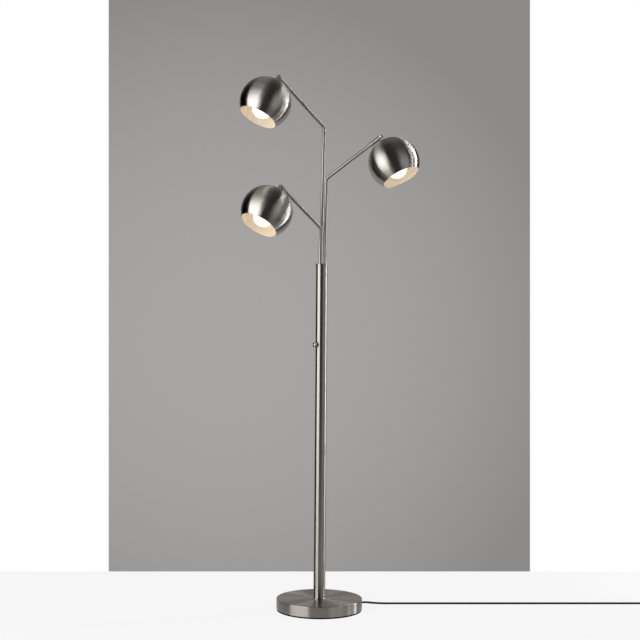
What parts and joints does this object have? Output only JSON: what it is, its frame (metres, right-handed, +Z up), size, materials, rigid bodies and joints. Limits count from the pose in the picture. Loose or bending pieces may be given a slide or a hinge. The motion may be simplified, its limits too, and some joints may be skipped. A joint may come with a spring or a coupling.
{
  "type": "tree floor lamp",
  "caption": "Floor lamp with a round weighted base, a straight pole with a turn knob, and bent arms that swivel and carry round metal shades that roll and tilt.",
  "frame": {"origin": "middle of the face under the base that rests on the floor", "axes": "+Z up along the pole, +Y to the back of the lamp as seen in the picture, +X to its right, where the mains lead runs"},
  "size_m": [1.3607, 0.3957, 1.5685],
  "materials": {
    "brushed_nickel": "satin brushed nickel plate",
    "shade_steel": "satin brushed nickel outside, cream white enamel inside",
    "black_rubber": "matt black rubber",
    "cast_iron": "rough grey iron",
    "zinc_steel": "zinc plated steel",
    "phenolic": "black moulded phenolic",
    "brass": "plain brass",
    "black_vinyl": "soft black vinyl",
    "bulb_aluminium": "rolled aluminium screw cap",
    "opal_glass": "opal white glass"
  },
  "bodies": {
    "stand": {"base_pad": "black_rubber", "base_cover": "brushed_nickel", "base_weight": "cast_iron", "base_washer": "zinc_steel", "base_nut": "zinc_steel", "base_nipple": "zinc_steel", "foot_ring": "brushed_nickel", "pole_foot": "zinc_steel", "pole_lower": "brushed_nickel", "pole_middle": "brushed_nickel", "pole_upper": "brushed_nickel", "pole_couplers": "zinc_steel", "pole_cap": "brushed_nickel", "guide_plate": "zinc_steel", "switch_body": "phenolic", "switch_nut": "brushed_nickel", "cord_bushing": "black_rubber", "inner_lead": "black_vinyl", "cord_run": "black_vinyl", "cord_coil": "black_vinyl", "plug_body": "black_vinyl", "plug_blades": "brass"},
    "knob": {"switch_knob": "brushed_nickel", "switch_spindle": "brass"},
    "top_arm": {"arm_tube_top": "brushed_nickel", "arm_collar_top": "zinc_steel", "swivel_stud_top": "zinc_steel"},
    "top_sleeve": {"sleeve_top": "brushed_nickel", "tilt_pin_top": "zinc_steel"},
    "top_head": {"knuckle_top": "brushed_nickel", "shade_top": "shade_steel", "shade_nut_top": "zinc_steel", "socket_top": "phenolic", "screw_shell_top": "brass", "bulb_cap_top": "bulb_aluminium", "bulb_top": "opal_glass"},
    "right_arm": {"arm_tube_right": "brushed_nickel", "arm_collar_right": "zinc_steel", "swivel_stud_right": "zinc_steel"},
    "right_sleeve": {"sleeve_right": "brushed_nickel", "tilt_pin_right": "zinc_steel"},
    "right_head": {"knuckle_right": "brushed_nickel", "shade_right": "shade_steel", "shade_nut_right": "zinc_steel", "socket_right": "phenolic", "screw_shell_right": "brass", "bulb_cap_right": "bulb_aluminium", "bulb_right": "opal_glass"},
    "left_arm": {"arm_tube_left": "brushed_nickel", "arm_collar_left": "zinc_steel", "swivel_stud_left": "zinc_steel"},
    "left_sleeve": {"sleeve_left": "brushed_nickel", "tilt_pin_left": "zinc_steel"},
    "left_head": {"knuckle_left": "brushed_nickel", "shade_left": "shade_steel", "shade_nut_left": "zinc_steel", "socket_left": "phenolic", "screw_shell_left": "brass", "bulb_cap_left": "bulb_aluminium", "bulb_left": "opal_glass"}
  },
  "joints": [
    {"name": "knob_turn", "type": "hinge", "parent": "stand", "child": "knob", "pos_m": [0, 0, 0.787], "axis": [-0.7071, -0.7071, 0], "continuous": true},
    {"name": "top_arm_swing", "type": "hinge", "parent": "stand", "child": "top_arm", "pos_m": [-0.00292, 0.00745, 1.023], "axis": [0.0175, 0, 0.9998], "range_deg": [-85, 40]},
    {"name": "top_shade_roll", "type": "hinge", "parent": "top_arm", "child": "top_sleeve", "pos_m": [-0.12846, -0.10181, 1.56171], "axis": [-0.6184, -0.5091, 0.5987], "range_deg": [-45, 45]},
    {"name": "top_shade_tilt", "type": "hinge", "parent": "top_sleeve", "child": "top_head", "pos_m": [-0.12846, -0.10181, 1.56171], "axis": [0.5957, -0.8005, -0.0654], "range_deg": [-63.4, 9.6]},
    {"name": "right_arm_swing", "type": "hinge", "parent": "stand", "child": "right_arm", "pos_m": [0.00791, -0.0012, 1.023], "axis": [0.0175, 0, 0.9998], "range_deg": [-35, 90]},
    {"name": "right_shade_roll", "type": "hinge", "parent": "right_arm", "child": "right_sleeve", "pos_m": [0.17026, -0.05637, 1.39701], "axis": [0.7728, -0.2701, 0.5744], "range_deg": [-45, 45]},
    {"name": "right_shade_tilt", "type": "hinge", "parent": "right_sleeve", "child": "right_head", "pos_m": [0.17026, -0.05637, 1.39701], "axis": [0.3795, 0.922, -0.0771], "range_deg": [-61.3, 11.7]},
    {"name": "left_arm_swing", "type": "hinge", "parent": "stand", "child": "left_arm", "pos_m": [-0.00499, -0.00625, 1.023], "axis": [0.0175, 0, 0.9998], "range_deg": [-82, 43]},
    {"name": "left_shade_roll", "type": "hinge", "parent": "left_arm", "child": "left_sleeve", "pos_m": [-0.11998, -0.10078, 1.24487], "axis": [-0.6228, -0.5036, 0.5987], "range_deg": [-45, 45]},
    {"name": "left_shade_tilt", "type": "hinge", "parent": "left_sleeve", "child": "left_head", "pos_m": [-0.11998, -0.10078, 1.24487], "axis": [0.6265, -0.7794, -0.0039], "range_deg": [-57.8, 15.2]}
  ]
}
